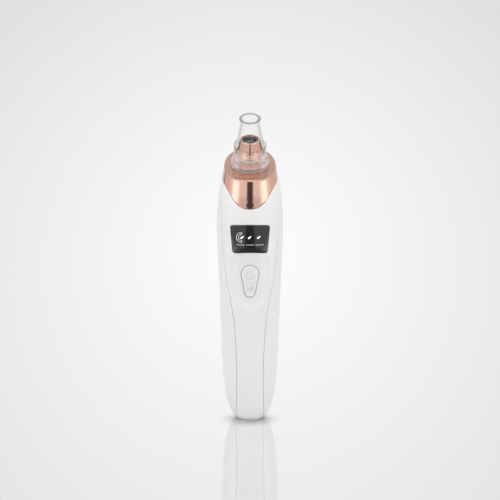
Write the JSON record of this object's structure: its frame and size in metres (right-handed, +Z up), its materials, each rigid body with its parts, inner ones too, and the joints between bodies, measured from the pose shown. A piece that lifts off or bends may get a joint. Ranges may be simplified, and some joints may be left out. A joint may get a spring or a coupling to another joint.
{
  "type": "pore vacuum",
  "caption": "Upright hand-held suction wand with a tilted clear tip, plated collar, dark display window and egg-shaped key, for cleaning skin pores.",
  "frame": {"origin": "middle of the flat foot that the wand stands on", "axes": "+Z up along the body, -Y towards the front with the display and the key, +X to the right seen from the front"},
  "size_m": [0.038, 0.0389, 0.1787],
  "materials": {
    "white_shell": "satin",
    "rose_plating": "polished",
    "clear_tip": "polished",
    "dark_window": "polished",
    "dark_metal": "satin",
    "steel": "satin",
    "nickel": "polished",
    "copper": "satin",
    "magnet": "matte",
    "board": "satin",
    "black_plastic": "matte",
    "grey_plastic": "satin",
    "milk_plastic": "satin",
    "lamp": "gloss",
    "black_rubber": "matte",
    "silicone": "satin",
    "grey_foam": "matte",
    "white_foam": "matte",
    "cell_wrap": "gloss",
    "red_lead": "satin",
    "black_lead": "satin"
  },
  "bodies": {
    "wand": {"rear_housing": "white_shell", "front_cover": "white_shell", "head_collar": "rose_plating", "display_window": "dark_window", "nozzle_neck": "rose_plating", "neck_seal_ring": "silicone", "neck_retainer": "steel", "filter_holder": "dark_metal", "filter_sponge": "white_foam", "main_board": "board", "board_screw_1": "steel", "board_screw_2": "steel", "board_screw_3": "steel", "board_screw_4": "steel", "tact_switch": "black_plastic", "indicator_led_1": "lamp", "indicator_led_2": "lamp", "indicator_led_3": "lamp", "light_box": "milk_plastic", "controller_chip": "black_plastic", "motor_can": "steel", "motor_end_cap": "grey_plastic", "motor_magnet_left": "magnet", "motor_magnet_right": "magnet", "motor_brush_left": "magnet", "motor_brush_right": "magnet", "wobble_plate": "milk_plastic", "pump_base": "black_plastic", "diaphragm": "black_rubber", "valve_plate": "milk_plastic", "pump_cover": "black_plastic", "pump_sleeve": "grey_foam", "pump_clamp": "grey_plastic", "clamp_screw_1": "steel", "clamp_screw_2": "steel", "suction_hose": "silicone", "battery_cell": "cell_wrap", "battery_tab_bottom": "nickel", "battery_tab_top": "nickel", "charge_board": "board", "charge_socket": "nickel", "socket_tongue": "black_plastic", "battery_lead_bottom": "black_lead", "battery_lead_top": "red_lead", "charge_lead_red": "red_lead", "charge_lead_black": "black_lead", "motor_lead_red": "red_lead", "motor_lead_black": "black_lead"},
    "tip": {"suction_tip": "clear_tip"},
    "key": {"power_mode_key": "white_shell"},
    "plunger": {"switch_plunger": "grey_plastic"},
    "rotor": {"motor_shaft": "steel", "motor_armature": "steel", "motor_commutator": "copper", "eccentric_wheel": "grey_plastic"}
  },
  "joints": [
    {"name": "tip_pull", "type": "slide", "parent": "wand", "child": "tip", "axis": [0, -0.3256, 0.9455], "range_m": [0, 0.02]},
    {"name": "key_press", "type": "slide", "parent": "wand", "child": "key", "axis": [0, 1, 0], "range_m": [0, 0.0003], "stiffness_N_per_m": 5000},
    {"name": "plunger_press", "type": "slide", "parent": "wand", "child": "plunger", "axis": [0, 1, 0], "range_m": [0, 0.0003]},
    {"name": "motor_spin", "type": "hinge", "parent": "wand", "child": "rotor", "pos_m": [0, 0.005, 0.0895], "axis": [0, 0, 1], "continuous": true}
  ],
  "couplings": [
    {"joint": "plunger_press", "follows": "key_press", "ratio": 1}
  ]
}
